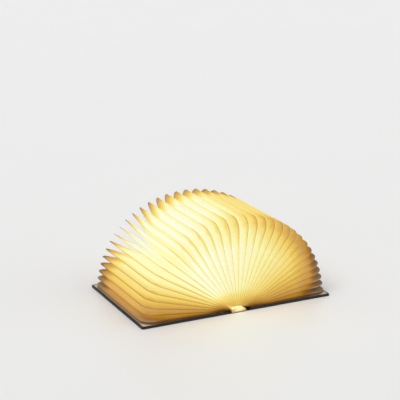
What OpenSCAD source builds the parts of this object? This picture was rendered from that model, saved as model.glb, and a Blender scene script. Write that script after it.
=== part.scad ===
// Folding book lamp, lying open with both covers flat on the table.
// X runs across the covers, Y along the spine from the front end to the rear
// end, Z up. The origin is on the table, in the middle of the spine.
// The right-hand side is drawn, and the left-hand side is its mirror image.

/* [Covers] */
// Length of the covers along the spine
cover_len = 215; // [150:1:280]
// Thickness of a finished cover
cover_t = 4; // [3.5:0.1:5]
// How far the covers stand out past the pages
overhang = 2.5; // [1:0.5:5]
// Radius of the covers' corners
cover_corner_r = 3; // [1:0.5:6]
// Thickness of the wrapping skin
wrap_t = 0.6; // [0.5:0.1:0.8]
// Width of the skin turned in over the board's edges
turn_in = 14; // [8:1:20]
// Thickness of the paper lining
lining_t = 0.3; // [0.2:0.05:0.5]
// Margin of skin left bare round the lining
lining_margin = 3; // [2:0.5:5]
// Width of the flexible joint between the hinge line and the board
joint_w = 8; // [7.5:0.5:12]

/* [Spine] */
// Distance between the two hinge lines
spine_w = 25; // [24:0.5:32]
// Thickness of the spine board
spine_board_t = 1.2; // [1:0.1:1.3]
// Gap on each side of the spine between the strip and the hinge line
spine_gap = 0.5; // [0.5:0.1:1]

/* [Pages] */
// Distance from the hinge line to a page's outer edge
page_reach = 155.5; // [120:0.5:200]
// Distance from the hinge line to a page's inner edge
page_root = 9; // [9:0.5:12]
// Thickness of a page pocket pressed flat
page_t = 0.25; // [0.2:0.05:0.35]
// Radius of the pages' outer corners
page_corner_r = 12.5; // [5:0.5:25]
// Gap between an end page and the lining it lies on
page_gap = 0.15; // [0.1:0.05:0.3]
// How much closer the pages stand beside the covers than at the top
fan_bias = 0.22; // [0:0.01:0.28]

/* [Magnets] */
// Diameter of a holding magnet
magnet_d = 10; // [6:0.5:14]
// Thickness of a magnet
magnet_t = 1.8; // [1:0.1:2]
// Distance of a holding magnet's centre from the cover's edges
magnet_inset = 13; // [11:0.5:20]
// Diameter of the small magnet that the sensor feels
sensor_magnet_d = 5; // [4:0.5:6]
// Play round a magnet in its pocket
magnet_play = 0.05; // [0.02:0.01:0.1]

/* [Light bar] */
// Width of the light bar
bar_w = 23; // [21:0.5:23]
// Radius of the light bar's arched top
bar_arch_r = 16; // [15.5:0.5:18]
// Gap between the light bar's top and the middle page's inner edge
root_gap = 0.4; // [0.3:0.05:0.5]
// Wall of the diffuser and of the tray
bar_wall = 0.8; // [0.6:0.1:0.9]
// Height of the tray's side walls
tray_h = 1.8; // [1.5:0.1:2.1]
// Thickness of an end cap along the spine
cap_t = 2.2; // [1.5:0.1:2.2]
// Width of an end cap
cap_w = 25.6; // [23:0.2:25.6]
// How far an end cap stands out past the diffuser's arch
cap_lip = 0.8; // [0.5:0.1:0.8]
// Free space between an end cap and the ends of the pages
cap_gap = 0.3; // [0.2:0.05:0.5]

/* [LEDs] */
// Width of the LED board
led_board_w = 8; // [6:0.5:8]
// Thickness of the LED board and of the control board
pcb_t = 0.8; // [0.6:0.1:0.8]
// Distance from the tray's floor to the LED board
led_board_lift = 3.3; // [3.2:0.1:3.4]
// Thickness of a rib under the LED board
rib_t = 1.5; // [1:0.1:2]
// Width of a rib under the LED board
rib_w = 9; // [8:0.5:9]
// Number of LED chips along the board
led_count = 18; // [8:1:20]
// Distance between two LED chips
led_pitch = 10; // [6:0.5:10]
// Length of an LED chip along the spine
led_l = 3.5; // [2:0.1:5]
// Width of an LED chip
led_w = 2.8; // [2:0.1:3.5]
// Height of an LED chip
led_h = 0.7; // [0.5:0.1:0.8]

/* [Battery] */
// Length of the battery along the spine
battery_l = 100; // [60:1:102]
// Width of the battery
battery_w = 16; // [12:0.5:16]
// Thickness of the battery
battery_t = 3; // [2:0.1:3]
// Diameter of a battery lead
lead_d = 1; // [0.8:0.1:1.2]
// Length of the leads between the battery and the control board
lead_span = 20; // [16:1:24]
// How far a lead lies on the control board
lead_lap = 3; // [2:0.5:4]
// Gap between a battery lead and the rib it passes
lead_gap = 0.3; // [0.2:0.05:0.5]

/* [Control board] */
// Length of the control board
control_l = 42; // [40:1:46]
// Width of the control board
control_w = 14; // [13:0.5:15]
// Height of the bosses that the control board stands on
standoff_h = 0.4; // [0.3:0.1:0.6]
// Length and width of the charging chip
charge_chip_l = 4; // [3:0.5:5]
// Height of the charging chip
charge_chip_h = 0.9; // [0.6:0.1:1.2]
// Length and width of the driver's coil
coil_l = 4; // [3:0.5:5]
// Height of the driver's coil
coil_h = 1.6; // [1:0.1:1.8]
// Length of the hall sensor along the spine
sensor_l = 3; // [2:0.1:3.5]
// Width of the hall sensor
sensor_w = 1.5; // [1:0.1:2]
// Height of the hall sensor
sensor_h = 1; // [0.8:0.1:1.2]
// Length of the link between the two boards
connector_l = 3; // [2.5:0.1:4]
// Width of the link between the two boards
connector_w = 6; // [4:0.5:7]
// Width of the charging socket
usb_w = 8.9; // [8.5:0.1:9]
// Height of the charging socket
usb_h = 3.2; // [3:0.1:3.3]
// Depth of the charging socket
usb_l = 7.3; // [6.5:0.1:8]
// Wall of the charging socket's shell
usb_wall = 0.3; // [0.2:0.05:0.4]
// Length of the charging socket's tongue
usb_tongue_l = 4.5; // [4:0.1:5]
// Thickness of the charging socket's tongue
usb_tongue_t = 0.7; // [0.6:0.1:0.8]
// Free space round the charging socket in the end cap
usb_play = 0.2; // [0.1:0.05:0.3]
// Diameter of the charge light's rod
charge_light_d = 1.6; // [1.2:0.1:2]
// Outer diameter of a board screw's thread
screw_d = 2; // [1.6:0.1:2.2]
// Diameter of a board screw's head
screw_head_d = 3.6; // [3:0.1:3.8]
// Height of a board screw's head
screw_head_h = 1; // [0.8:0.1:1.2]
// Wall of the boss round a board screw
boss_wall = 1; // [0.8:0.1:1.2]

/* [Hidden] */
$fn = 64;
side_pages = 16;         // moving pages on each side of the middle page
fan_steps = side_pages + 1;
eps = 0.01;              // a cutter's reach past the face that it cuts
slip = 0.2;              // free fit of a piece that drops into its place
filler_play = 0.1;       // gap round the filler sheet in the turned-in skin
thread_fit = 0.02;       // radial fit of a screw in the hole it cuts

hinge_x = spine_w / 2;
hinge_z = wrap_t / 2;    // the fold is in the middle of the skin
cover_x0 = hinge_x + joint_w;
cover_x1 = hinge_x + page_reach + overhang;
board_top = cover_t - lining_t - wrap_t;
page_len = cover_len - 2 * overhang;
page_offset = cover_t - hinge_z + page_gap + page_t / 2;

spine_strip_w = spine_w - 2 * spine_gap;
spine_board_w = spine_strip_w - 1;
spine_board_l = cover_len - 1;
spine_top = wrap_t + spine_board_t;
floor_top = spine_top + bar_wall;
tray_top = spine_top + tray_h;
bar_top = hinge_z + page_root - root_gap;
bar_end = page_len / 2 + cap_gap;

// Along the light bar, from the socket at its rear end to the front
board_end_play = 1.5;    // free space between a board and the end cap
control_y1 = bar_end - board_end_play;
control_y0 = control_y1 - control_l;
control_z = floor_top + standoff_h;
control_top = control_z + pcb_t;
connector_y = control_y0 + 6;     // middle of the link
screw_y = control_y0 + 12;        // the two screws' axes
charge_chip_y = control_y0 + 16;  // front side of the chip
sensor_y = control_y0 + 24;       // middle of the hall sensor
coil_y = control_y0 + 27;         // front side of the coil
screw_inset = 2.8;       // distance of a screw from the control board's side
screw_xs = [-1, 1] * (control_w / 2 - screw_inset);
battery_y1 = control_y0 - lead_span;
battery_y0 = battery_y1 - battery_l;
led_board_y0 = board_end_play - bar_end;
led_board_y1 = control_y1 - usb_l - 2 * board_end_play;
led_board_z = floor_top + led_board_lift;
rib_margin = 2;          // distance of a rib's middle from what it stands beside
rib_ys = [led_board_y0 + rib_margin, battery_y0 - rib_margin, battery_y1 + rib_margin];
charge_light_gap = 1.1;  // gap between the socket and the charge light
charge_light_x = (usb_w + charge_light_d) / 2 + charge_light_gap;
charge_light_z = control_top + usb_h / 2;
charge_light_tail = 2;   // the rod's length inside the light bar

magnet_x = cover_x1 - magnet_inset;
magnet_y = cover_len / 2 - magnet_inset;
sensor_magnet_inset = 6; // distance of its magnet from the board's spine side
sensor_magnet_x = cover_x0 + sensor_magnet_inset;

skin_colour = "#17140f";
board_colour = "#b9a88a";
lining_colour = "#e8d2a2";
page_colour = "#f6dfa6";
magnet_colour = "#b9bcc0";
tray_colour = "#d9d9d6";
opal_colour = "#fff3d2";
pcb_colour = "#e9ebe6";
control_colour = "#1f5a3a";

// --- the fan ---------------------------------------------------------------

// Name of page i, counted from the middle page out to the cover
function page_name(side, i) = str("page_", side, "_", i < 10 ? "0" : "", i);

// Share of the cover's turn that the page at v takes: 0 at the middle page,
// 1 at the end page on the cover
function fan_share(v) = (1 + fan_bias) * v - fan_bias * v * v;

// --- flat shapes -------------------------------------------------------------

// A rectangle from (x0, -len/2) to (x1, len/2), all its corners rounded
module rounded_plate(x0, x1, len, r) {
    translate([x0 + r, -len / 2]) square([x1 - x0 - 2 * r, len]);
    translate([x0, -len / 2 + r]) square([x1 - x0, len - 2 * r]);
    for (x = [x0 + r, x1 - r], y = [-1, 1] * (len / 2 - r)) translate([x, y]) circle(r);
}

// A page's outline: square at the inner edge, rounded at the outer corners
module page_outline() {
    r = page_corner_r;
    translate([page_root, -page_len / 2]) square([page_reach - page_root - r, page_len]);
    translate([page_root, -page_len / 2 + r]) square([page_reach - page_root, page_len - 2 * r]);
    for (y = [-1, 1] * (page_len / 2 - r)) translate([page_reach - r, y]) circle(r);
}

// --- pages -------------------------------------------------------------------

// The page at v, from 0 for the middle page to 1 for the end page. It turns
// about its own line between the middle of the spine and the hinge line.
module page(v) {
    color(page_colour)
        translate([hinge_x * v, 0, hinge_z])
            rotate([0, -90 * (1 - fan_share(v)), 0])
                translate([0, 0, page_offset * v - page_t / 2])
                    linear_extrude(page_t) page_outline();
}

// --- covers --------------------------------------------------------------------

// Flat area of the board inside the wrapping skin
module board_area() {
    rounded_plate(cover_x0 + wrap_t, cover_x1 - wrap_t, cover_len - 2 * wrap_t, cover_corner_r - wrap_t);
}

// Opening that the turned-in skin leaves on the inside of the cover, made
// smaller all round by play
module turn_in_window(play = 0) {
    inset = turn_in + play;
    translate([cover_x0 + inset, -cover_len / 2 + inset])
        square([cover_x1 - cover_x0 - 2 * inset, cover_len - 2 * inset]);
}

// Skin wrapped round the board and turned in over its edges
module cover_wrap() {
    color(skin_colour)
        difference() {
            linear_extrude(board_top + wrap_t)
                rounded_plate(cover_x0, cover_x1, cover_len, cover_corner_r);
            translate([0, 0, wrap_t]) linear_extrude(board_top - wrap_t) board_area();
            translate([0, 0, board_top - eps]) linear_extrude(wrap_t + 2 * eps) turn_in_window();
        }
}

// Places of the two holding magnets of a cover
module at_magnets() {
    for (y = [-1, 1] * magnet_y) translate([magnet_x, y, 0]) children();
}

// Stiff board with pockets for the magnets, open to the cover's inside
module cover_board(with_sensor_magnet = false) {
    color(board_colour)
        difference() {
            translate([0, 0, wrap_t]) linear_extrude(board_top - wrap_t) board_area();
            at_magnets()
                translate([0, 0, board_top - magnet_t])
                    cylinder(h = magnet_t + eps, r = magnet_d / 2 + magnet_play);
            if (with_sensor_magnet)
                translate([sensor_magnet_x, sensor_y, board_top - magnet_t])
                    cylinder(h = magnet_t + eps, r = sensor_magnet_d / 2 + magnet_play);
        }
}

// Two holding magnets and, in the left cover, the small one that tells the
// sensor when the lamp is shut
module cover_magnets(with_sensor_magnet = false) {
    color(magnet_colour) {
        at_magnets() translate([0, 0, board_top - magnet_t]) cylinder(h = magnet_t, d = magnet_d);
        if (with_sensor_magnet)
            translate([sensor_magnet_x, sensor_y, board_top - magnet_t])
                cylinder(h = magnet_t, d = sensor_magnet_d);
    }
}

// Paper lining over the turned-in skin, with a filler sheet inside the window
module lining() {
    color(lining_colour) {
        translate([0, 0, cover_t - lining_t])
            linear_extrude(lining_t)
                rounded_plate(cover_x0 + lining_margin, cover_x1 - lining_margin,
                              cover_len - 2 * lining_margin, cover_corner_r);
        translate([0, 0, board_top])
            linear_extrude(wrap_t) turn_in_window(filler_play);
    }
}

// Flexible strip of skin between the spine and a cover
module joint_cloth() {
    color(skin_colour)
        translate([hinge_x + slip, -page_len / 2, 0]) cube([joint_w - slip, page_len, wrap_t]);
}

// --- spine ---------------------------------------------------------------------

module spine_wrap() {
    color(skin_colour)
        translate([-spine_strip_w / 2, -cover_len / 2, 0]) cube([spine_strip_w, cover_len, wrap_t]);
}

module spine_board() {
    color(board_colour)
        difference() {
            translate([-spine_board_w / 2, -spine_board_l / 2, wrap_t])
                cube([spine_board_w, spine_board_l, spine_board_t]);
            at_screws() translate([0, 0, wrap_t - eps]) cylinder(h = spine_top, d = screw_d + 2 * slip);
        }
}

// --- light bar -------------------------------------------------------------------

// The bar's arched cross-section, grown by g all round, from height z0 up
module bar_section(w, g, z0) {
    intersection() {
        translate([0, bar_top - bar_arch_r]) circle(bar_arch_r + g);
        translate([-w / 2, z0]) square([w, bar_top + g - z0]);
    }
}

// Turns a cross-section drawn in X and Z so that it runs along Y
module along_spine(y0, y1) {
    translate([0, y1, 0]) rotate([90, 0, 0]) linear_extrude(y1 - y0) children();
}

module at_screws() {
    for (x = screw_xs) translate([x, screw_y, 0]) children();
}

// Tray that holds the battery and the boards, with ribs under the LED board
module module_tray() {
    color(tray_colour)
        difference() {
            union() {
                translate([-bar_w / 2, -bar_end, spine_top]) cube([bar_w, 2 * bar_end, bar_wall]);
                for (x = [-bar_w / 2, bar_w / 2 - bar_wall])
                    translate([x, -bar_end, spine_top]) cube([bar_wall, 2 * bar_end, tray_h]);
                for (y = rib_ys)
                    translate([-rib_w / 2, y - rib_t / 2, spine_top])
                        cube([rib_w, rib_t, led_board_z - spine_top]);
                at_screws()
                    translate([0, 0, spine_top])
                        cylinder(h = control_z - spine_top, d = screw_d + 2 * boss_wall);
            }
            at_screws() translate([0, 0, spine_top - eps]) cylinder(h = cover_t, d = screw_d);
        }
}

module battery_cell() {
    color("#8f9aa3")
        translate([-battery_w / 2, battery_y0, floor_top]) cube([battery_w, battery_l, battery_t]);
}

// Two leads from the battery to the control board
module battery_leads() {
    color("#c2352b")
        for (x = [-1, 1] * (rib_w / 2 + lead_gap + lead_d / 2))
            translate([x, battery_y1, control_top + lead_d / 2])
                rotate([-90, 0, 0]) cylinder(h = control_y0 + lead_lap - battery_y1, d = lead_d);
}

// Charging and driver board with its two tallest components and the sensor
// that feels the left cover's magnet
module control_board() {
    color(control_colour)
        difference() {
            union() {
                translate([-control_w / 2, control_y0, control_z]) cube([control_w, control_l, pcb_t]);
                translate([-charge_chip_l / 2, charge_chip_y, control_top])
                    cube([charge_chip_l, charge_chip_l, charge_chip_h]);
                translate([-coil_l / 2, coil_y, control_top]) cube([coil_l, coil_l, coil_h]);
                translate([-control_w / 2 + slip, sensor_y - sensor_l / 2, control_top])
                    cube([sensor_w, sensor_l, sensor_h]);
            }
            at_screws()
                translate([0, 0, control_z - eps]) cylinder(h = pcb_t + 2 * eps, d = screw_d + slip);
        }
}

module board_screws() {
    color("#a8abb0")
        at_screws() {
            translate([0, 0, spine_top + slip])
                cylinder(h = control_top - spine_top - slip, d = screw_d - 2 * thread_fit);
            translate([0, 0, control_top]) cylinder(h = screw_head_h, d = screw_head_d);
        }
}

// Plug-in link that carries power up to the LED board
module board_connector() {
    color("#2b2b2b")
        translate([-connector_w / 2, connector_y - connector_l / 2, control_top])
            cube([connector_w, connector_l, led_board_z - control_top]);
}

// Cross-section of a flat socket with fully rounded ends
module socket_section(w, h) {
    square([w - h, h], center = true);
    for (x = [-1, 1] * (w - h) / 2) translate([x, 0]) circle(d = h);
}

// Charging socket: a shell with a tongue, its mouth level with the end cap
module usb_socket() {
    y1 = bar_end + cap_t;
    color("#c8cacc")
        translate([0, 0, control_top + usb_h / 2]) {
            difference() {
                along_spine(y1 - usb_l, y1) socket_section(usb_w, usb_h);
                along_spine(y1 - usb_l + usb_wall, y1 + eps)
                    socket_section(usb_w - 2 * usb_wall, usb_h - 2 * usb_wall);
            }
            translate([-usb_w / 2 + usb_h / 2, y1 - usb_l + usb_wall / 2, -usb_tongue_t / 2])
                cube([usb_w - usb_h, usb_tongue_l, usb_tongue_t]);
        }
}

// Clear rod that carries the charge light out through the rear end cap
module charge_light() {
    color("#f4b860")
        translate([charge_light_x, bar_end - charge_light_tail, charge_light_z])
            rotate([-90, 0, 0]) cylinder(h = cap_t + charge_light_tail, d = charge_light_d);
}

module led_board() {
    color(pcb_colour)
        translate([-led_board_w / 2, led_board_y0, led_board_z])
            cube([led_board_w, led_board_y1 - led_board_y0, pcb_t]);
}

module led_chips() {
    row_l = (led_count - 1) * led_pitch + led_l;
    row_y0 = (led_board_y0 + led_board_y1 - row_l) / 2;
    color("#ffe9a8")
        for (i = [0:led_count - 1])
            translate([-led_w / 2, row_y0 + i * led_pitch, led_board_z + pcb_t])
                cube([led_w, led_l, led_h]);
}

// Arched opal cover over the LEDs, standing on the tray's side walls
module diffuser() {
    color(opal_colour)
        along_spine(-bar_end, bar_end)
            difference() {
                bar_section(bar_w, 0, tray_top);
                bar_section(bar_w - 2 * bar_wall, -bar_wall, 0);
            }
}

module cap_outline() { bar_section(cap_w, cap_lip, wrap_t); }

module front_end_cap() {
    color(opal_colour)
        difference() {
            along_spine(-bar_end - cap_t, -bar_end) cap_outline();
            spine_end_notch(-1);
        }
}

// Rear end plate, cut for the charging socket and the charge light
module rear_end_cap() {
    color(opal_colour)
        difference() {
            along_spine(bar_end, bar_end + cap_t) cap_outline();
            spine_end_notch(1);
            translate([0, 0, control_top + usb_h / 2])
                along_spine(bar_end - eps, bar_end + cap_t + eps)
                    socket_section(usb_w + 2 * usb_play, usb_h + 2 * usb_play);
            translate([charge_light_x, bar_end - eps, charge_light_z])
                rotate([-90, 0, 0]) cylinder(h = cap_t + 2 * eps, d = charge_light_d + 2 * thread_fit);
        }
}

// Notch in an end cap's foot for the end of the spine board
module spine_end_notch(end) {
    translate([-spine_board_w / 2, end > 0 ? bar_end - eps : -bar_end - cap_t - eps, wrap_t - eps])
        cube([spine_board_w, cap_t + 2 * eps, spine_board_t + eps]);
}

// --- all the pieces ---------------------------------------------------------------

module left() { mirror([1, 0, 0]) children(); }

left() cover_wrap();  // left_cover_wrap
cover_wrap();  // right_cover_wrap
left() cover_board(with_sensor_magnet = true);  // left_cover_board
cover_board();  // right_cover_board
left() lining();  // left_lining
lining();  // right_lining
left() joint_cloth();  // left_joint_cloth
joint_cloth();  // right_joint_cloth
left() cover_magnets(with_sensor_magnet = true);  // left_cover_magnets
cover_magnets();  // right_cover_magnets
spine_wrap();
spine_board();
module_tray();
battery_cell();
battery_leads();
control_board();
board_screws();
board_connector();
usb_socket();
charge_light();
led_board();
led_chips();
diffuser();
front_end_cap();
rear_end_cap();
page(0);  // page_middle
left() page(1);  // end_page_left
page(1);  // end_page_right
for (i = [1:side_pages]) {
    left() page(i / fan_steps);
    page(i / fan_steps);
}
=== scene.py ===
"""Dresses the folding book lamp: its fan of paper pockets, its covers, its light bar and a plain studio."""
import math

import bmesh
import bpy
import numpy as np
from bpy.props import FloatProperty, FloatVectorProperty, PointerProperty
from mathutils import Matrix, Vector


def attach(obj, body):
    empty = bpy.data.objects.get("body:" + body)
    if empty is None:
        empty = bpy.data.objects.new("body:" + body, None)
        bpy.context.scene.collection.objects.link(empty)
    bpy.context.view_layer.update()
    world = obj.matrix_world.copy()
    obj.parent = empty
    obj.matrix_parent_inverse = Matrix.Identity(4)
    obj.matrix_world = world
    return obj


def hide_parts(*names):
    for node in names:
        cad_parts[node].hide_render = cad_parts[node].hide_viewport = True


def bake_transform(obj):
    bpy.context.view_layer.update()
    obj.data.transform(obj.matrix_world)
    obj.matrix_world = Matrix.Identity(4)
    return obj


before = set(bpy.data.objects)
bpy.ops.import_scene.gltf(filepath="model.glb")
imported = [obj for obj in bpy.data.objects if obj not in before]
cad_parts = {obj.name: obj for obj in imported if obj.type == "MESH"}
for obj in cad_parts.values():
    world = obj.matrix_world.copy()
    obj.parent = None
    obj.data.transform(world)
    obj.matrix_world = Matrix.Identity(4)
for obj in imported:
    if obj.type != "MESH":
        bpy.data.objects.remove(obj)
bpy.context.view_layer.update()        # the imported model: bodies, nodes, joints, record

bl_info = {
    "name": "Folding book lamp",
    "version": (1, 0, 0),
    "blender": (4, 5, 0),
    "location": "3D View > Sidebar > Book Lamp",
    "description": "Builds a book-shaped lamp whose paper pockets fan out over a light bar",
    "category": "Object",
}

MM = 0.001

# The fan, as the CAD source has it. A page is numbered by its step from the upright middle page.
STEPS = 17                  # from the middle page to the page on the cover
HINGE_X = 12.5 * MM         # half the spine's width, where a cover folds
HINGE_Z = 0.3 * MM          # the middle of the skin's thickness
PAGE_OFFSET = 4.0 * MM      # how far the page on the cover lies from the fold
PAGE_ROOT = 9.0 * MM        # where a page leaves the light bar
PAGE_REACH = 155.5 * MM     # its fore edge
PAGE_HALF = 105.0 * MM      # half its length along the spine
FAN_BIAS = 0.22             # the pages stand wider apart at the top than at the covers
REST_STEP = 0.4             # the last turning page sinks this near to the page on the cover, in steps
SHUT_HALF = 8.5 * MM        # half the thickness of the shut book between its covers
SHUT_FILL = 0.45            # how far a shut pocket's wall stands from its middle, in steps
SHUT_SEAM = 0.06 * MM       # the same for its sealed edge, in length

NET = 8.5 * MM              # spacing of the net of creases that lets a page take its shape
CREASES = np.array([5.8, 4.2, 2.8, 1.7])    # the closer creases beside an edge, in widths of the seam
FULL = 0.985                # share of its room that a full pocket takes, so that pockets never touch
WELD = 0.002 * MM           # corners nearer than this are one
FLOOR_WIDTH = 60.0          # metres, so that its edges lie out of sight
FLOOR_DROP = 0.05 * MM      # keeps the floor just clear of what stands on it


def smooth(low, high, x):
    """0 below low, 1 above high and an even curve in between."""
    t = np.clip((x - low) / (high - low), 0, 1)
    return t * t * (3 - 2 * t)


# ---------------------------------------------------------------- materials


def srgb(code):
    """A colour written as a hex code, as the linear numbers that a shader takes."""
    parts = [int(code[i:i + 2], 16) / 255 for i in (1, 3, 5)]
    return tuple(c / 12.92 if c <= 0.04045 else ((c + 0.055) / 1.055) ** 2.4 for c in parts) + (1.0,)


def add_node(tree, kind, settings=None, **inputs):
    """Adds a node. Settings are its own properties, and each input is a number, a colour or another node's
    output. An input's name is its socket's, or _ and its number."""
    node = tree.nodes.new(kind)
    for key, value in (settings or {}).items():
        setattr(node, key, value)
    for key, value in inputs.items():
        socket = node.inputs[int(key[1:])] if key[0] == "_" else node.inputs[key.replace("_", " ")]
        if isinstance(value, bpy.types.NodeSocket):
            tree.links.new(value, socket)
        else:
            socket.default_value = value
    return node


def new_finish(name):
    """An empty material with its tree, its surface shader and the Object coordinates of what it covers."""
    finish = bpy.data.materials.new(name)
    finish.use_nodes = True
    tree = finish.node_tree
    tree.nodes.clear()
    shader = add_node(tree, "ShaderNodeBsdfPrincipled")
    output = add_node(tree, "ShaderNodeOutputMaterial", Surface=shader.outputs[0])
    output.is_active_output = True
    place = add_node(tree, "ShaderNodeTexCoord").outputs["Object"]
    return finish, tree, shader, place


def set_shader(tree, shader, **inputs):
    """Sets the surface shader's own sockets, or links a pattern to them."""
    for key, value in inputs.items():
        socket = shader.inputs[key.replace("_", " ")]
        if isinstance(value, bpy.types.NodeSocket):
            tree.links.new(value, socket)
        else:
            socket.default_value = value


def marks(size):
    """The scale at which a noise, cell or brick pattern draws marks of that size."""
    return 1 / size


def bands(size):
    """The scale at which a wave pattern's bands repeat at that distance."""
    return math.pi / 10 / size


def add_ramp(tree, value, *stops):
    """A colour ramp through (position, hex code) stops."""
    ramp = add_node(tree, "ShaderNodeValToRGB", Fac=value)
    points = ramp.color_ramp.elements
    while len(points) < len(stops):
        points.new(0.5)
    for point, (position, code) in zip(points, stops):
        point.position = position
        point.color = srgb(code)
    return ramp.outputs["Color"]


def page_paper_finish(fan):
    """Spun-bonded page paper, heat-sealed round its edge: matt and warm, with a cloudy felt of fibres that
    shows where the light comes through, and a dull rim where two layers are sealed together, dark where the
    glow shows and paler where the room's light does. The lamp's light through the pages is painted on as
    glow, read from each page's lamp_light map."""
    finish, tree, shader, _ = new_finish("Spun-bonded page paper, heat-sealed")
    sheet = add_node(tree, "ShaderNodeUVMap", {"uv_map": "Sheet"}).outputs["UV"]  # metres on the flat page
    light = add_node(tree, "ShaderNodeAttribute", {"attribute_name": "lamp_light"}).outputs["Fac"]
    edge = add_node(tree, "ShaderNodeAttribute", {"attribute_name": "edge_distance"}).outputs["Fac"]
    room = add_node(tree, "ShaderNodeAttribute", {"attribute_name": "room_light"}).outputs["Fac"]
    # Fibre clouds, drawn out along the page as the web was laid
    laid = add_node(tree, "ShaderNodeMapping", Vector=sheet, Scale=(1.0, 0.45, 1.0)).outputs[0]
    clouds = add_node(tree, "ShaderNodeTexNoise", Vector=laid, Scale=marks(4 * MM), Detail=5.0,
                      Roughness=0.6).outputs["Fac"]
    fibres = add_node(tree, "ShaderNodeTexNoise", Vector=laid, Scale=marks(0.7 * MM), Detail=3.0,
                      Distortion=1.5).outputs["Fac"]
    seam = add_node(tree, "ShaderNodeMapRange", {"interpolation_type": "SMOOTHSTEP"}, Value=edge,
                    From_Min=fan.seam * 1.5, From_Max=fan.seam * 0.6, To_Min=0.0, To_Max=1.0).outputs[0]
    cloudy = add_node(tree, "ShaderNodeMapRange", Value=clouds, From_Min=0.3, From_Max=0.7,
                      To_Min=0.98, To_Max=1.02).outputs[0]
    # Painted light: the lamp's glow through the paper, from the painted lamp_light map and the fibre clouds,
    # less the seam's share
    through = add_node(tree, "ShaderNodeMath", {"operation": "MULTIPLY"}, _0=light, _1=cloudy).outputs[0]
    shown = add_node(tree, "ShaderNodeMath", {"operation": "MULTIPLY_ADD"}, _0=seam, _1=-fan.seam_shade,
                     _2=through).outputs[0]
    glow = add_ramp(tree, shown, (0.10, "#200f04"), (0.22, "#3e2408"), (0.33, "#72470f"), (0.43, "#a87c20"),
                    (0.54, "#ba9150"), (0.66, "#d0ac4c"), (0.78, "#e5ce6e"), (0.86, "#e6d98a"),
                    (0.93, "#ebedab"), (0.97, "#eaecc3"), (1.00, "#f7fbee"))
    # Painted shade: where the glow shows, the base colour is a dark brown, far darker than the paper itself,
    # so that the studio lamps add little to the painted glow
    paper = add_ramp(tree, clouds, (0.3, "#5e4825"), (0.7, "#69532d"))
    # Painted light: where the room_light map says the lamp hardly reaches, the base colour is painted the
    # paper's own pale colour, as the room's light would show it; the sealed rim likewise turns from dark to
    # pale
    unlit = add_node(tree, "ShaderNodeMix", {"data_type": "RGBA"}, Factor=room, _6=paper,
                     _7=srgb("#9b8565")).outputs[2]
    sealed = add_node(tree, "ShaderNodeMix", {"data_type": "RGBA"}, Factor=room, _6=srgb("#553f1f"),
                      _7=srgb("#a39077")).outputs[2]
    body = add_node(tree, "ShaderNodeMix", {"data_type": "RGBA"}, Factor=seam, _6=unlit, _7=sealed).outputs[2]
    bump = add_node(tree, "ShaderNodeBump", Strength=0.25, Distance=0.15 * MM, Height=fibres).outputs[0]
    set_shader(tree, shader, Base_Color=body, Roughness=0.82, IOR=1.49, Specular_IOR_Level=0.3,
               Emission_Color=glow, Emission_Strength=fan.glow, Normal=bump)
    return finish


def cover_skin_finish(cover):
    """Bonded leather, embossed and rolled: near black and satin, with a fine pebbled grain that catches the
    light in points, and a faint cloudiness in its colour and gloss."""
    finish, tree, shader, place = new_finish("Bonded leather, embossed")
    pebbles = add_node(tree, "ShaderNodeTexVoronoi", {"feature": "DISTANCE_TO_EDGE"}, Vector=place,
                       Scale=marks(cover.grain)).outputs["Distance"]
    waves = add_node(tree, "ShaderNodeTexNoise", Vector=place, Scale=marks(11 * MM),
                     Detail=4.0).outputs["Fac"]
    fine = add_node(tree, "ShaderNodeTexNoise", Vector=place, Scale=marks(0.4 * MM),
                    Detail=3.0).outputs["Fac"]
    colour = add_node(tree, "ShaderNodeMix", {"data_type": "RGBA"}, Factor=waves,
                      _6=tuple(cover.skin_colour), _7=srgb("#1f1d1e")).outputs[2]
    height = add_node(tree, "ShaderNodeMapRange", {"interpolation_type": "SMOOTHSTEP"}, Value=pebbles,
                      From_Min=0.0, From_Max=0.22, To_Min=0.0, To_Max=1.0).outputs[0]
    relief = add_node(tree, "ShaderNodeMath", {"operation": "MULTIPLY_ADD"}, _0=fine, _1=0.2,
                      _2=height).outputs[0]
    sheen = add_node(tree, "ShaderNodeMapRange", Value=waves, From_Min=0.3, From_Max=0.7,
                     To_Min=0.46, To_Max=0.60).outputs[0]
    bump = add_node(tree, "ShaderNodeBump", Strength=0.55, Distance=0.12 * MM, Height=relief).outputs[0]
    set_shader(tree, shader, Base_Color=colour, Roughness=sheen, IOR=1.5, Specular_IOR_Level=0.35,
               Normal=bump)
    return finish


def board_finish():
    """Grey book board, pressed from waste fibre: matt, flecked light and dark, with a faint layered edge."""
    finish, tree, shader, place = new_finish("Grey book board, pressed")
    flecks = add_node(tree, "ShaderNodeTexNoise", Vector=place, Scale=marks(1.4 * MM), Detail=6.0,
                      Roughness=0.7).outputs["Fac"]
    layers = add_node(tree, "ShaderNodeTexWave", {"bands_direction": "Z"}, Vector=place, Scale=bands(2 * MM),
                      Distortion=2.0, Detail=2.0).outputs["Fac"]
    colour = add_ramp(tree, flecks, (0.35, "#a89c83"), (0.5, "#bdb095"), (0.65, "#cbbfa5"))
    relief = add_node(tree, "ShaderNodeMath", {"operation": "ADD"}, _0=flecks, _1=layers).outputs[0]
    bump = add_node(tree, "ShaderNodeBump", Strength=0.3, Distance=0.1 * MM, Height=relief).outputs[0]
    set_shader(tree, shader, Base_Color=colour, Roughness=0.9, IOR=1.45, Normal=bump)
    return finish


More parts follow.
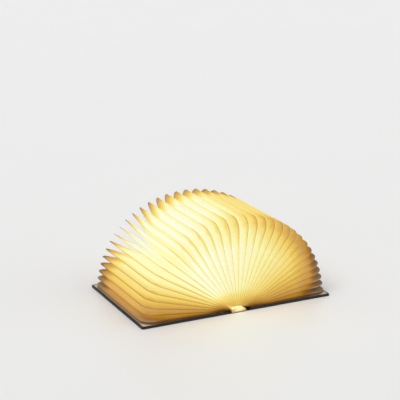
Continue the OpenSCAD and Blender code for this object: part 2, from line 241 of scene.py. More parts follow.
def lining_finish():
    """Uncoated lining paper, pasted down: smooth and matt, with a fine laid grain and uneven paste."""
    finish, tree, shader, place = new_finish("Lining paper, pasted down")
    grain = add_node(tree, "ShaderNodeTexNoise", Vector=place, Scale=marks(0.7 * MM),
                     Detail=4.0).outputs["Fac"]
    paste = add_node(tree, "ShaderNodeTexNoise", Vector=place, Scale=marks(17 * MM),
                     Detail=2.0).outputs["Fac"]
    colour = add_ramp(tree, paste, (0.35, "#cdbb98"), (0.65, "#d8c7a6"))
    bump = add_node(tree, "ShaderNodeBump", Strength=0.2, Distance=0.05 * MM, Height=grain).outputs[0]
    set_shader(tree, shader, Base_Color=colour, Roughness=0.85, IOR=1.49, Normal=bump)
    return finish


def plastic_finish(name, light, dark, rough, grain=0.35 * MM, relief=0.03 * MM):
    """A moulded plastic: one colour that the flow of the melt clouds a little, and the spark-eroded mould's
    fine texture, which breaks its highlights up."""
    finish, tree, shader, place = new_finish(name)
    flow = add_node(tree, "ShaderNodeTexNoise", Vector=place, Scale=marks(8 * MM), Detail=2.0,
                    Distortion=0.8).outputs["Fac"]
    texture = add_node(tree, "ShaderNodeTexNoise", Vector=place, Scale=marks(grain),
                       Detail=2.0).outputs["Fac"]
    colour = add_ramp(tree, flow, (0.35, dark), (0.65, light))
    uneven = add_node(tree, "ShaderNodeMapRange", Value=texture, From_Min=0.3, From_Max=0.7,
                      To_Min=rough - 0.05, To_Max=rough + 0.05).outputs[0]
    bump = add_node(tree, "ShaderNodeBump", Strength=0.3, Distance=relief, Height=texture).outputs[0]
    set_shader(tree, shader, Base_Color=colour, Roughness=uneven, IOR=1.53, Normal=bump)
    return finish


def metal_finish(name, light, dark, rough, along=(1.0, 1.0, 1.0)):
    """A rolled, drawn or plated metal: bright, with hair-fine marks along the way it was worked."""
    finish, tree, shader, place = new_finish(name)
    drawn = add_node(tree, "ShaderNodeMapping", Vector=place, Scale=along).outputs[0]
    hairs = add_node(tree, "ShaderNodeTexNoise", Vector=drawn, Scale=marks(0.4 * MM),
                     Detail=3.0).outputs["Fac"]
    tarnish = add_node(tree, "ShaderNodeTexNoise", Vector=place, Scale=marks(4 * MM),
                       Detail=3.0).outputs["Fac"]
    colour = add_ramp(tree, tarnish, (0.35, dark), (0.65, light))
    uneven = add_node(tree, "ShaderNodeMapRange", Value=hairs, From_Min=0.3, From_Max=0.7,
                      To_Min=rough - 0.08, To_Max=rough + 0.08).outputs[0]
    bump = add_node(tree, "ShaderNodeBump", Strength=0.2, Distance=0.01 * MM, Height=hairs).outputs[0]
    set_shader(tree, shader, Base_Color=colour, Metallic=1.0, Roughness=uneven, Normal=bump)
    return finish


def circuit_board_finish(name, mask, weave_shade):
    """Glass-cloth laminate under a printed solder mask: glossy, with the cloth's 0.5 mm weave telegraphing
    through and tracks as raised lines."""
    finish, tree, shader, place = new_finish(name)
    weave_x, weave_y = (add_node(tree, "ShaderNodeTexWave", {"bands_direction": axis}, Vector=place,
                                 Scale=bands(0.5 * MM)).outputs["Fac"] for axis in "XY")
    weave = add_node(tree, "ShaderNodeMath", {"operation": "MULTIPLY"}, _0=weave_x, _1=weave_y).outputs[0]
    tracks = add_node(tree, "ShaderNodeTexBrick", {"offset": 0.5}, Vector=place, Scale=marks(5.6 * MM),
                      Mortar_Size=0.03, Color1=srgb(mask), Color2=srgb(mask), Mortar=srgb(weave_shade))
    colour = add_node(tree, "ShaderNodeMix", {"data_type": "RGBA"}, Factor=weave, _6=tracks.outputs["Color"],
                      _7=srgb(weave_shade)).outputs[2]
    bump = add_node(tree, "ShaderNodeBump", Strength=0.3, Distance=0.03 * MM,
                    Height=tracks.outputs["Fac"]).outputs[0]
    set_shader(tree, shader, Base_Color=colour, Roughness=0.28, IOR=1.55, Normal=bump)
    return finish


def opal_finish(name, strength, heart, edge):
    """Opal polycarbonate, moulded, with the lamp behind it: milky and satin, brightest over the row of lights
    and warmer at its feet, with faint clouds in the melt."""
    finish, tree, shader, place = new_finish(name)
    parts = add_node(tree, "ShaderNodeSeparateXYZ", Vector=place)
    side = add_node(tree, "ShaderNodeMath", {"operation": "ABSOLUTE"}, _0=parts.outputs["X"]).outputs[0]
    across = add_node(tree, "ShaderNodeMapRange", {"interpolation_type": "SMOOTHSTEP"}, Value=side,
                      From_Min=3 * MM, From_Max=12.5 * MM, To_Min=1.0, To_Max=0.1).outputs[0]
    up = add_node(tree, "ShaderNodeMapRange", {"interpolation_type": "SMOOTHSTEP"}, Value=parts.outputs["Z"],
                  From_Min=0.0, From_Max=6 * MM, To_Min=0.3, To_Max=1.0).outputs[0]
    clouds = add_node(tree, "ShaderNodeTexNoise", Vector=place, Scale=marks(4.5 * MM),
                      Detail=3.0).outputs["Fac"]
    milky = add_node(tree, "ShaderNodeMapRange", Value=clouds, From_Min=0.3, From_Max=0.7,
                     To_Min=0.92, To_Max=1.04).outputs[0]
    lit = add_node(tree, "ShaderNodeMath", {"operation": "MULTIPLY"}, _0=across, _1=up).outputs[0]
    shown = add_node(tree, "ShaderNodeMath", {"operation": "MULTIPLY"}, _0=lit, _1=milky).outputs[0]
    glow = add_ramp(tree, shown, (0.0, "#4a2c10"), (0.5, edge), (1.0, heart))
    body = add_ramp(tree, clouds, (0.3, "#a0906c"), (0.7, "#aa9a76"))
    bump = add_node(tree, "ShaderNodeBump", Strength=0.15, Distance=0.03 * MM, Height=clouds).outputs[0]
    set_shader(tree, shader, Base_Color=body, Roughness=0.42, IOR=1.58, Emission_Color=glow,
               Emission_Strength=strength, Normal=bump)
    return finish


# ---------------------------------------------------------------- modelling by hand


def deselect():
    """Leaves nothing selected and nothing in edit mode."""
    if bpy.context.object and bpy.context.object.mode != "OBJECT":
        bpy.ops.object.mode_set(mode="OBJECT")
    for thing in bpy.context.selected_objects:
        thing.select_set(False)


def take(piece):
    """Selects one object alone and makes it the active one."""
    deselect()
    piece.select_set(True)
    bpy.context.view_layer.objects.active = piece


def pick(kind, test):
    """In edit mode, selects the verts, edges or faces that pass the test and nothing else."""
    bpy.ops.mesh.select_mode(type={"verts": "VERT", "edges": "EDGE", "faces": "FACE"}[kind])
    bpy.ops.mesh.select_all(action="DESELECT")
    mesh = bmesh.from_edit_mesh(bpy.context.edit_object.data)
    for item in getattr(mesh, kind):
        if test(item):
            item.select_set(True)
    mesh.select_flush_mode()
    bmesh.update_edit_mesh(bpy.context.edit_object.data)


def cut(across, places):
    """Cuts all of the mesh in edit mode with planes square to an axis, at each place along it."""
    axis = Vector([float(a == across) for a in "XYZ"])
    for at in places:
        bpy.ops.mesh.select_all(action="SELECT")
        bpy.ops.mesh.bisect(plane_co=axis * at, plane_no=axis)


def copy_piece(piece, name):
    """Another of the same piece, with a mesh of its own."""
    made = piece.copy()
    made.data = piece.data.copy()
    made.name = made.data.name = name
    bpy.context.scene.collection.objects.link(made)
    return made


def coat(piece, finish):
    """Gives a piece one material all over."""
    piece.data.materials.clear()
    piece.data.materials.append(finish)


def soften(node, name, width, segments=3):
    """A merged copy of a CAD node with its sharp edges rounded, which stands for the node."""
    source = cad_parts[node]
    made = copy_piece(source, name)
    made.parent = None
    made.hide_render = made.hide_viewport = False
    take(made)
    bpy.ops.object.mode_set(mode="EDIT")
    bpy.ops.mesh.select_all(action="SELECT")
    bpy.ops.mesh.remove_doubles(threshold=WELD)
    bpy.ops.mesh.dissolve_limited(angle_limit=math.radians(1))
    bpy.ops.object.mode_set(mode="OBJECT")
    rounding = made.modifiers.new("Rounded edges", "BEVEL")
    rounding.width, rounding.segments = width, segments
    rounding.limit_method, rounding.angle_limit = "ANGLE", math.radians(40)
    rounding.harden_normals = False
    bpy.ops.object.modifier_apply(modifier=rounding.name)
    bpy.ops.object.shade_smooth_by_angle(angle=math.radians(35))
    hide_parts(node)
    return made


# ---------------------------------------------------------------- the fan of page pockets


def flat_page(fan):
    """One page as it is cut: a sheet with two sides, two rounded corners and its sealed seam, creased into a
    fine net. x is the distance from the spine, y runs along it, and z tells the two sides apart."""
    deselect()
    bpy.ops.mesh.primitive_plane_add(size=1)
    page = bpy.context.object
    page.name = page.data.name = "flat_page"
    bpy.ops.object.mode_set(mode="EDIT")
    bpy.ops.mesh.select_all(action="SELECT")
    bpy.ops.transform.resize(value=(PAGE_REACH - PAGE_ROOT, 2 * PAGE_HALF, 1))
    bpy.ops.transform.translate(value=((PAGE_REACH + PAGE_ROOT) / 2, 0, 0))
    pick("verts", lambda v: v.co.x > PAGE_REACH - MM)
    bpy.ops.mesh.bevel(offset=fan.corner, segments=8, affect="VERTICES")
    bpy.ops.mesh.select_all(action="SELECT")
    bpy.ops.mesh.inset(thickness=fan.seam, depth=0)
    near, far = PAGE_ROOT + NET, PAGE_REACH - fan.corner
    cut("X", [*np.arange(near, far, 0.8 * NET), far, *(PAGE_REACH - fan.seam * CREASES)])
    straight = PAGE_HALF - fan.corner
    ends = np.array([*np.linspace(0.06, 1.0, 13) * straight, *(PAGE_HALF - fan.seam * CREASES)])
    cut("Y", [*-ends[::-1], 0.0, *ends])
    bpy.ops.mesh.select_all(action="SELECT")
    bpy.ops.mesh.extrude_region_move(TRANSFORM_OT_translate={"value": (0, 0, MM)})
    bpy.ops.mesh.select_all(action="SELECT")
    bpy.ops.mesh.normals_make_consistent(inside=False)
    bpy.ops.object.mode_set(mode="OBJECT")
    return page


def edge_distance(out, along, corner):
    """How far a point of the flat page is from its head, fore edge or tail, with the two corners rounded."""
    from_fore, from_end = PAGE_REACH - out, PAGE_HALF - np.abs(along)
    in_corner = (from_fore < corner) & (from_end < corner)
    from_arc = corner - np.hypot(corner - from_fore, corner - from_end)
    return np.clip(np.where(in_corner, from_arc, np.minimum(from_fore, from_end)), 0, None)


def pocket_fill(fan, out, along, edge):
    """How much of its room in the fan a pocket fills: nothing at its sealed edge and all of it where it leans
    on the next pocket, well in from the fore edge and a little in from head and tail."""
    from_fore = np.clip((PAGE_REACH - fan.seam - out) / fan.fore_slope, 0, 1)
    from_end = np.clip((PAGE_HALF - fan.seam - np.abs(along)) / fan.end_slope, 0, 1)
    swell = (1 - (1 - from_fore) ** fan.fore_round) * (1 - (1 - from_end) ** fan.end_round)
    return swell * np.clip((edge - fan.seam) / (3 * MM), 0, 1)


def fan_point(fan, step, out, along, side):
    """The point of the fan at a step from the middle (0) to the cover (1), at a distance out from the light
    bar. Pages that stand at the bar's shoulders reach a little further."""
    turned = np.radians(90 * (1 - (1 + FAN_BIAS) * step + FAN_BIAS * step * step))
    lift = fan.shoulder * np.sin(np.pi * step) ** 2 * smooth(PAGE_ROOT, PAGE_REACH, out)
    x = HINGE_X * step - PAGE_OFFSET * step * np.sin(turned) + (out + lift) * np.cos(turned)
    z = HINGE_Z + PAGE_OFFSET * step * np.cos(turned) + (out + lift) * np.sin(turned)
    return np.stack([side * x, along, z], axis=-1)


def lamp_light(fan, step, out, along, edge):
    """A painted map of how brightly the lamp shows through a page, from 0 to 1, at a step from the middle
    page (below 0 on the left). It is painted a little brighter on the left, and its lights stop short of the
    socket at the rear."""
    low, front, right = np.abs(step), -along / PAGE_HALF, step > 0
    # The light bar shines upwards, so pages near the covers get less
    up = 1 - np.where(right, 0.54, 0.49) * np.clip((low - 0.43) / 0.57, 0, 1) ** 2.6
    # The walls of a pocket run along the light near the bar, and lean into it further out
    near = 1 - (0.22 + np.where(right, 0.14, 0.25) * low) * (1 - smooth(8 * MM, (42 + 6 * low) * MM, out))
    head = np.where(right & (front > 0), 0.16 * smooth(0, 0.8, low), 0.2 * smooth(0.5, 1, low))
    head *= smooth(0.4, 0.95, np.abs(front))
    # The outer corners are the farthest from the bar, and pages on the right turn their fore edges from it
    corner = np.where(right, 0.04 + 0.58 * low, np.maximum(0.03, 0.17 - 0.71 * low)) * smooth(0.2, 1, front)
    corner += (0.5 + 0.1 * low) * smooth(0.5, 1, -front)
    corner += 0.3 * smooth(0.85, 1, low)
    turned = 0.11 * smooth(0, 0.12, step) + 0.22 * smooth(0.45, 0.75, step)
    far = corner * smooth(95 * MM, 160 * MM, out) + turned * smooth(125 * MM, 155 * MM, out)
    # Painted shade: each wall dims towards its sealed edge, most where it is steep and where it hangs low on
    # the left
    steep = (np.maximum(smooth(0.45, 0.7, low), smooth(100 * MM, 140 * MM, out))
             * smooth(0.6, 0.95, np.abs(front)))
    hung = np.where(right, 0, smooth(0.4, 0.7, low))
    rim = fan.rim_shade * (0.45 + 0.55 * np.maximum(steep, hung) + 0.5 * hung + 0.9 * smooth(0.7, 1, -front))
    rim *= 1 - smooth(0, 9 * MM, edge)
    # Deep between pages that stand up, two walls light each other and need less of their own
    deep = 1 - 0.1 * smooth(14 * MM, 45 * MM, edge) * smooth(0.9, 0.2, low)
    return up * near * (1 - head) * (1 - far) * (1 - rim) * deep


def room_light(step, out, along):
    """How far a page shows the room's light in place of the lamp's, from 0 to 1: at the corners that the lamp
    hardly reaches, and along the fore edge of the pages that lie low."""
    low, front = np.abs(step), -along / PAGE_HALF
    rear = 0.8 * smooth(0.7, 1, -front) * smooth(110 * MM, 150 * MM, out)
    lying = smooth(0.8, 1, low) * smooth(115 * MM, 150 * MM, out)
    right = smooth(0.45, 0.85, step) * smooth(0.2, 0.9, front) * smooth(110 * MM, 145 * MM, out)
    return np.clip(rear + lying + right, 0, 1)


def open_step(number):
    """Where a pocket stands in the open fan. The last one before the cover sinks close to the one on it."""
    return 1.0 if number == STEPS else number / (STEPS - 1 + REST_STEP)


def page_pocket(fan, page, name, number, side, half=False):
    """Folds a copy of the flat page into the pocket with that number from the middle, on the right (side 1)
    or the left (side -1). It also works out each point's share of the turn about the cover's fold that would
    shut the pocket flat in the closed book, but does not apply it."""
    made = copy_piece(page, name)
    count = len(made.data.vertices)
    flat = np.zeros(count * 3)
    made.data.vertices.foreach_get("co", flat)
    out, along, layer = flat.reshape(-1, 3).T
    edge = edge_distance(out, along, fan.corner)
    fill = pocket_fill(fan, out, along, edge)
    toward_cover = np.where((layer > MM / 2) == (side < 0), 1.0, -1.0)
    middle = open_step(number)
    # A step's length here, which turns lengths into steps
    ahead, behind = (fan_point(fan, middle + way * 0.01, out, along, 1) for way in (1, -1))
    room = np.linalg.norm(ahead - behind, axis=1) / 0.02
    thin = fan.sheet / room
    next_room = open_step(min(number + 1, STEPS)) - middle
    room_before = middle - open_step(number - 1) if number else next_room
    swell = np.maximum(np.where(toward_cover > 0, next_room, room_before) / 2 * fill * FULL, thin)
    if half:
        swell = np.where(toward_cover > 0, swell, 0.02 * thin)
    # Paper is never quite even, so each page's free edge waves by a few tenths of a millimetre
    wave = (np.sin(along / (31 * MM) + 2.1 * number) + np.sin(along / (17 * MM) - 1.3 * number + side)) / 2
    free = fan.wave / room * wave * smooth(60 * MM, PAGE_REACH, out) * math.sin(math.pi * middle)
    outermost = 1 + 0.03 * MM / room
    step = np.clip(middle + toward_cover * swell + free, 0 if half else -1, outermost)
    spot = fan_point(fan, step, out, along, side)
    made.data.vertices.foreach_set("co", spot.astype(np.float32).ravel())

    # Shut, the pages stand in a row between the covers; each point's share of the turn between its open and
    # shut places is worked out here but not applied
    shut_step = number / STEPS + toward_cover * np.maximum(SHUT_FILL / STEPS * fill, SHUT_SEAM / SHUT_HALF)
    shut_step = np.clip(shut_step, 0, 1.01)
    dx, dz = side * spot[:, 0] - HINGE_X, spot[:, 2] - HINGE_Z
    reach = np.hypot(dx, dz)
    stands = np.arctan2(dz, dx)
    shut = np.pi / 2 + np.arcsin(np.clip((HINGE_X - SHUT_HALF * shut_step) / reach, -1, 1))
    share = (shut - stands) / (np.pi / 2)
    if number == STEPS:
        share = np.where(toward_cover > 0, 1.0, share)
    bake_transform(made)

    light = lamp_light(fan, side * step, out, along, edge) * (fan.end_share if number == STEPS else 1)
    # Painted shade: the seam's dark line is partly the double layer and partly the valley's shade beside it;
    # it is faded out along the middle of the fore edge, except on the low pages on the left, and at the outer
    # corners of the pages on the right
    shows = np.maximum(smooth(70 * MM, 100 * MM, np.abs(along)), 0.85 * smooth(0.4, 0.7, -side * step))
    shows *= 1 - smooth(0.3, 0.5, side * step) * smooth(130 * MM, 145 * MM, out)
    seam_edge = edge + 1.4 * MM * (1 - shows)
    for title, values in (("lamp_light", light), ("room_light", room_light(side * step, out, along)),
                          ("edge_distance", seam_edge)):
        made.data.attributes.new(title, "FLOAT", "POINT").data.foreach_set("value", values.astype(np.float32))
    corners = np.zeros(len(made.data.loops), np.int32)
    made.data.loops.foreach_get("vertex_index", corners)
    sheet = made.data.uv_layers.get("Sheet") or made.data.uv_layers.new(name="Sheet")
    shift = 0.37 * number + 0.11 * side
    spread = np.stack([out[corners] + shift, along[corners]], -1)
    sheet.data.foreach_set("uv", spread.astype(np.float32).ravel())
    made.data.update()
    take(made)
    bpy.ops.object.shade_smooth_by_angle(angle=math.radians(50))
    return made


class PageFanSettings(bpy.types.PropertyGroup):
    """Sizes of the page pockets, and how the light shows through them"""
    seam: FloatProperty(name="Seam", description="Width of the sealed seam round a pocket", default=1.0 * MM,
                        min=0.5 * MM, unit="LENGTH")
    corner: FloatProperty(name="Corner", description="Radius of a page's two outer corners", default=20 * MM,
                          min=4 * MM, unit="LENGTH")
    sheet: FloatProperty(name="Sheet", description="Thickness of one layer of page paper", default=0.14 * MM,
                         min=0.05 * MM, unit="LENGTH")
    fore_slope: FloatProperty(name="Fore slope", description="How far a pocket narrows towards its fore edge",
                              default=98 * MM, min=10 * MM, unit="LENGTH")
    end_slope: FloatProperty(name="End slope",
                             description="How far a pocket narrows towards its head and tail",
                             default=17 * MM, min=5 * MM, unit="LENGTH")
    fore_round: FloatProperty(name="Fore roundness", description="1 is a straight wedge, and more swells it",
                              default=1.4, min=1.0, max=4.0, subtype="FACTOR")
    end_round: FloatProperty(name="End roundness", description="1 is a straight wedge, and more swells it",
                             default=2.0, min=1.0, max=4.0, subtype="FACTOR")
    shoulder: FloatProperty(name="Shoulder", description="How much further the half-way pages reach",
                            default=3.2 * MM, min=0.0, unit="LENGTH")
    wave: FloatProperty(name="Wave", description="How far a page's free edge waves",
                        default=0.35 * MM, min=0.0, unit="LENGTH")
    seam_shade: FloatProperty(name="Seam shade",
                              description="How much of the light the double layer keeps back",
                              default=0.14, min=0.0, max=1.0, subtype="FACTOR")
    rim_shade: FloatProperty(name="Rim shade",
                             description="How much a pocket's wall dims towards its sealed edge",
                             default=0.22, min=0.0, max=1.0, subtype="FACTOR")
    end_share: FloatProperty(name="End share",
                             description="Share of the light that the page on a cover still shows",
                             default=0.85, min=0.0, max=1.0, subtype="FACTOR")
    glow: FloatProperty(name="Glow", description="Strength of the light through the pages",
                        default=1.0, min=0.0, subtype="FACTOR")


class BOOKLAMP_OT_page_pockets(bpy.types.Operator):
    """Cuts one page, and folds it into each of the fan's paper pockets"""
    bl_idname = "book_lamp.page_pockets"
    bl_label = "Page pockets"

    def execute(self, context):
        fan = context.scene.book_lamp_fan
        paper = page_paper_finish(fan)
        page = flat_page(fan)
        coat(page, paper)
        for side, word in ((1, "right"), (-1, "left")):
            middle = page_pocket(fan, page, f"pocket_middle_{word}", 0, side, half=True)
            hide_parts("page_middle")
            for number in range(1, STEPS + 1):
                last = number == STEPS
                name = f"end_pocket_{word}" if last else f"pocket_{word}_{number:02d}"
                made = page_pocket(fan, page, name, number, side)
                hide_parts(f"end_page_{word}" if last else f"page_{word}_{number:02d}")
        bpy.data.objects.remove(page)
        return {"FINISHED"}


# ---------------------------------------------------------------- covers and spine


class CoverSettings(bpy.types.PropertyGroup):
    """The covers' skin"""
    skin_colour: FloatVectorProperty(name="Skin colour", description="Colour of the covers' skin",
                                     subtype="COLOR", size=4, default=srgb("#121113"), min=0.0, max=1.0)
    grain: FloatProperty(name="Grain", description="Width of one pebble of the skin's grain",
                         default=1.1 * MM, min=0.2 * MM, unit="LENGTH")
    edge: FloatProperty(name="Edge", description="Radius of the skin's turn over the board's edge",
                        default=0.45 * MM, min=0.05 * MM, unit="LENGTH")


def joint_strip(side, word):
    """The strip of skin between spine and cover, pressed down into a groove beside the board. Its cuts lie
    closer where the real strip folds as the cover turns, though here it stays flat."""
    inner, outer = HINGE_X - 0.8 * MM, HINGE_X + 8.15 * MM
    low, top, half = 0.02 * MM, 0.58 * MM, 107.3 * MM
    deselect()
    bpy.ops.mesh.primitive_cube_add(size=1)
    strip = bpy.context.object
    strip.name = strip.data.name = f"joint_strip_{word}"
    bpy.ops.object.mode_set(mode="EDIT")
    bpy.ops.mesh.select_all(action="SELECT")
    bpy.ops.transform.resize(value=(outer - inner, 2 * half, top - low))
    bpy.ops.transform.translate(value=((outer + inner) / 2, 0, (top + low) / 2))
    # Closer where it folds than beside the board
    cut("X", [*np.arange(inner + 0.3 * MM, HINGE_X + 3 * MM, 0.3 * MM),
              *np.linspace(HINGE_X + 3.4 * MM, outer, 10)[:-1]])
    cut("Y", np.linspace(-half, half, 12)[1:-1])
    bpy.ops.object.mode_set(mode="OBJECT")
    for vertex in strip.data.vertices:
        # The pressed groove, and a slight ripple left by the bone folder
        groove = math.exp(-((vertex.co.x - HINGE_X - 4.4 * MM) / (2.2 * MM)) ** 2)
        if vertex.co.z > (low + top) / 2:
            vertex.co.z -= 0.22 * MM * groove
        vertex.co.x *= side
    take(strip)
    bpy.ops.object.mode_set(mode="EDIT")
    bpy.ops.mesh.select_all(action="SELECT")
    bpy.ops.mesh.normals_make_consistent(inside=False)
    bpy.ops.object.mode_set(mode="OBJECT")
    bpy.ops.object.shade_smooth_by_angle(angle=math.radians(40))
    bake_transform(strip)
    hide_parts(f"{word}_joint_cloth")
    return strip


class BOOKLAMP_OT_covers(bpy.types.Operator):
    """Rounds the skins over their boards, lays in the joint strips, and finishes what the skins hold"""
    bl_idname = "book_lamp.covers"
    bl_label = "Covers and spine"

    def execute(self, context):
        cover = context.scene.book_lamp_cover
        skin = cover_skin_finish(cover)
        for side, word in ((1, "right"), (-1, "left")):
            wrap = soften(f"{word}_cover_wrap", f"cover_skin_{word}", cover.edge)
            coat(wrap, skin)
            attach(wrap, f"{word}_cover")
            coat(joint_strip(side, word), skin)
        coat(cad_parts["spine_wrap"], skin)
        board, lining = board_finish(), lining_finish()
        magnets = metal_finish("Nickel plate, barrel-plated", "#c9c6bd", "#b4b0a6", 0.26)
        for node in ("left_cover_board", "right_cover_board", "spine_board"):
            coat(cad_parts[node], board)
        for node in ("left_lining", "right_lining"):
            coat(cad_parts[node], lining)
        for node in ("left_cover_magnets", "right_cover_magnets"):
            coat(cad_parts[node], magnets)
        return {"FINISHED"}


# ---------------------------------------------------------------- the light bar


class LightBarSettings(bpy.types.PropertyGroup):
    """How the light bar glows"""
    cap_glow: FloatProperty(name="Cap glow", description="Strength of the light through the two end caps",
                            default=1.0, min=0.0, subtype="FACTOR")
    bar_glow: FloatProperty(name="Bar glow", description="Strength of the light through the long diffuser",
                            default=1.6, min=0.0, subtype="FACTOR")
    cap_edge: FloatProperty(name="Cap edge", description="Radius of the end caps' edges", default=0.5 * MM,
                            min=0.05 * MM, unit="LENGTH")


class BOOKLAMP_OT_light_bar(bpy.types.Operator):
    """Rounds and lights the end caps, lights the diffuser, and finishes the rest of the light bar"""
    bl_idname = "book_lamp.light_bar"
    bl_label = "Light bar"

    def execute(self, context):
        bar = context.scene.book_lamp_bar
        cap_opal = opal_finish("Opal polycarbonate end cap, lit", bar.cap_glow, "#d8d39a", "#c9a25a")
        for node in ("front_end_cap", "rear_end_cap"):
            cap = soften(node, node.replace("end_cap", "cap_rounded"), bar.cap_edge)
            coat(cap, cap_opal)
            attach(cap, "spine")
        finishes = {
            "diffuser": opal_finish("Opal polycarbonate diffuser, lit", bar.bar_glow, "#fff6d8", "#ffe2a0"),
            "module_tray": plastic_finish("White ABS tray, moulded", "#dedcd4", "#d3d0c7", 0.5),
            "battery_cell": metal_finish("Aluminium laminate pouch, pressed", "#b7bcc0", "#a3a9ae", 0.38,
                                         along=(1.0, 0.1, 1.0)),
            "battery_leads": plastic_finish("Red silicone lead insulation, extruded", "#b8332a", "#a82b23",
                                            0.55),
            "control_board": circuit_board_finish("Green solder mask on glass laminate", "#1f5c3a",
                                                  "#184a2e"),
            "led_board": circuit_board_finish("White solder mask on glass laminate", "#e4e6e0", "#d2d5ce"),
            "board_screws": metal_finish("Zinc-plated steel screw, rolled", "#bdbdb8", "#a5a6a2", 0.32,
                                         along=(1.0, 1.0, 0.1)),
            "usb_socket": metal_finish("Stamped steel socket shell, nickel-plated", "#c4c4c2", "#b0b1b0", 0.3,
                                       along=(1.0, 0.1, 1.0)),
            "board_connector": plastic_finish("Black nylon connector, moulded", "#2b2b2c", "#222223", 0.5),
            "charge_light": plastic_finish("Amber acrylic light pipe, moulded", "#e79a3c", "#d98a2f", 0.18),
            "led_chips": opal_finish("Phosphor-filled silicone over the chips", 2.0, "#fff4cf", "#ffdf93"),
        }
        for node, finish in finishes.items():
            coat(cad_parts[node], finish)
        return {"FINISHED"}


# ---------------------------------------------------------------- the studio


class StageSettings(bpy.types.PropertyGroup):
    """Camera, floor and lamps of the studio"""
    turn: FloatProperty(name="Camera turn", description="Where the camera stands round the lamp",
                        default=math.radians(-26.2), subtype="ANGLE")
    rise: FloatProperty(name="Camera rise", description="How far above the floor the camera looks from",
                        default=math.radians(16.24), subtype="ANGLE")
    away: FloatProperty(name="Camera distance", description="From the camera to the point it looks at",
                        default=2.053, min=0.3, unit="LENGTH")
    aim: FloatVectorProperty(name="Aim", description="The point that the camera looks at", size=3,
                             default=(-0.0176, 0.0, 0.16234), subtype="XYZ", unit="LENGTH")
    lens: FloatProperty(name="Lens", description="Focal length on a 36 mm sensor", default=112.6, min=20.0,
                        subtype="FACTOR")
    floor_colour: FloatVectorProperty(name="Floor colour", description="Colour of the studio floor",
                                      subtype="COLOR", size=4, default=srgb("#eeedeb"), min=0.0, max=1.0)
    room_light: FloatProperty(name="Room light", description="Even light from all round",
                              default=0.5, min=0.0, subtype="FACTOR")
    key_light: FloatProperty(name="Key light", description="The large soft lamp above and to the left",
                             default=1.7, min=0.0, subtype="FACTOR")


def floor_finish(stage):
    """Painted studio floor, rolled on: pale and satin, with the roller's faint orange peel, drawn as coarse
    as it needs to be to show."""
    finish, tree, shader, place = new_finish("Studio floor paint, rolled")
    peel = add_node(tree, "ShaderNodeTexNoise", Vector=place, Scale=marks(11 * MM), Detail=3.0).outputs["Fac"]
    patches = add_node(tree, "ShaderNodeTexNoise", Vector=place, Scale=marks(330 * MM),
                       Detail=2.0).outputs["Fac"]
    colour = add_node(tree, "ShaderNodeMix", {"data_type": "RGBA"}, Factor=patches,
                      _6=tuple(stage.floor_colour), _7=srgb("#ebeae8")).outputs[2]
    bump = add_node(tree, "ShaderNodeBump", Strength=0.05, Distance=0.2 * MM, Height=peel).outputs[0]
    set_shader(tree, shader, Base_Color=colour, Roughness=0.4, IOR=1.45, Specular_IOR_Level=0.3, Normal=bump)
    return finish


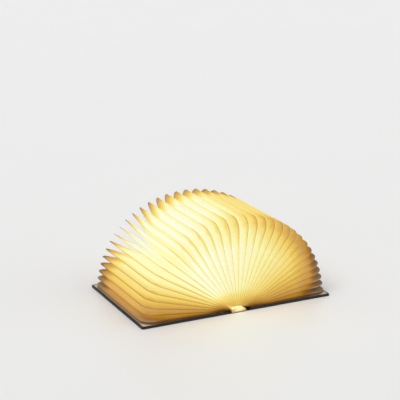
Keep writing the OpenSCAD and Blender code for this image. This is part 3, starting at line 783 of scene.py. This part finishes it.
class BOOKLAMP_OT_stage(bpy.types.Operator):
    """Lays the pale floor, hangs the soft studio light and sets up the camera"""
    bl_idname = "book_lamp.stage"
    bl_label = "Studio"

    def execute(self, context):
        stage = context.scene.book_lamp_stage
        deselect()
        bpy.ops.mesh.primitive_plane_add(size=1)
        floor = context.object
        floor.name = "studio_floor"
        bpy.ops.object.mode_set(mode="EDIT")
        bpy.ops.mesh.select_all(action="SELECT")
        bpy.ops.transform.resize(value=(FLOOR_WIDTH, FLOOR_WIDTH, 1))
        bpy.ops.transform.translate(value=(0, 0, -FLOOR_DROP))
        bpy.ops.object.mode_set(mode="OBJECT")
        coat(floor, floor_finish(stage))

        world = bpy.data.worlds.new("Studio")
        context.scene.world = world
        world.use_nodes = True
        tree = world.node_tree
        tree.nodes.clear()
        # The camera, mirrors and clear parts see a white room, and a dimmer one lights the pieces
        path = add_node(tree, "ShaderNodeLightPath")
        room = add_node(tree, "ShaderNodeBackground", Color=srgb("#f4f6fa"), Strength=stage.room_light)
        white = add_node(tree, "ShaderNodeBackground", Color=(1, 1, 1, 1), Strength=1.0)
        mirrored = add_node(tree, "ShaderNodeMath", {"operation": "MAXIMUM"},
                            _0=path.outputs["Is Glossy Ray"],
                            _1=path.outputs["Is Transmission Ray"]).outputs[0]
        seen = add_node(tree, "ShaderNodeMath", {"operation": "MAXIMUM"}, _0=path.outputs["Is Camera Ray"],
                        _1=mirrored).outputs[0]
        mix = add_node(tree, "ShaderNodeMixShader", _0=seen, _1=room.outputs[0], _2=white.outputs[0])
        add_node(tree, "ShaderNodeOutputWorld", Surface=mix.outputs[0])

        for name, strength, spread, heading in (
            ("key", stage.key_light, 40, (0.62, 0.35, -0.95)),
            ("fill", stage.key_light * 0.25, 60, (-0.8, 0.5, -0.6)),
        ):
            lamp = bpy.data.lights.new(name, "SUN")
            lamp.energy, lamp.angle = strength, math.radians(spread)
            hung = bpy.data.objects.new(name, lamp)
            hung.rotation_euler = Vector(heading).to_track_quat("-Z", "Y").to_euler()
            context.scene.collection.objects.link(hung)

        camera = bpy.data.cameras.new("camera")
        camera.lens, camera.sensor_width = stage.lens, 36.0
        camera.clip_start, camera.clip_end = 0.05, 100.0
        seat = bpy.data.objects.new("camera", camera)
        level = math.cos(stage.rise)
        back = Vector((math.sin(stage.turn) * level, -math.cos(stage.turn) * level, math.sin(stage.rise)))
        seat.location = Vector(stage.aim) + back * stage.away
        seat.rotation_euler = (-back).to_track_quat("-Z", "Y").to_euler()
        context.scene.collection.objects.link(seat)
        context.scene.camera = seat
        context.scene.view_settings.view_transform = "Standard"
        return {"FINISHED"}


# ---------------------------------------------------------------- add-on


class BOOKLAMP_PT_sidebar(bpy.types.Panel):
    """Lists the lamp's pieces, each with its sizes and colours"""
    bl_label = "Book Lamp"
    bl_idname = "BOOKLAMP_PT_sidebar"
    bl_space_type = "VIEW_3D"
    bl_region_type = "UI"
    bl_category = "Book Lamp"

    def draw(self, context):
        for operator, group in BUILD_ORDER:
            box = self.layout.box()
            box.operator(operator.bl_idname)
            settings = getattr(context.scene, group)
            for name in settings.bl_rna.properties.keys():
                if name not in ("rna_type", "name"):
                    box.prop(settings, name)


BUILD_ORDER = (
    (BOOKLAMP_OT_page_pockets, "book_lamp_fan"),
    (BOOKLAMP_OT_covers, "book_lamp_cover"),
    (BOOKLAMP_OT_light_bar, "book_lamp_bar"),
    (BOOKLAMP_OT_stage, "book_lamp_stage"),
)
SETTINGS = (
    ("book_lamp_fan", PageFanSettings),
    ("book_lamp_cover", CoverSettings),
    ("book_lamp_bar", LightBarSettings),
    ("book_lamp_stage", StageSettings),
)


def register():
    """Adds the settings, the operators and the panel."""
    for name, group in SETTINGS:
        bpy.utils.register_class(group)
        setattr(bpy.types.Scene, name, PointerProperty(type=group))
    for operator, _ in BUILD_ORDER:
        bpy.utils.register_class(operator)
    bpy.utils.register_class(BOOKLAMP_PT_sidebar)


def unregister():
    """Takes them out again, last one first."""
    bpy.utils.unregister_class(BOOKLAMP_PT_sidebar)
    for operator, _ in reversed(BUILD_ORDER):
        bpy.utils.unregister_class(operator)
    for name, group in reversed(SETTINGS):
        delattr(bpy.types.Scene, name)
        bpy.utils.unregister_class(group)


def main():
    """Builds the lamp and its studio."""
    register()
    bpy.ops.book_lamp.page_pockets()
    bpy.ops.book_lamp.covers()
    bpy.ops.book_lamp.light_bar()
    bpy.ops.book_lamp.stage()


if __name__ == "__main__":
    main()
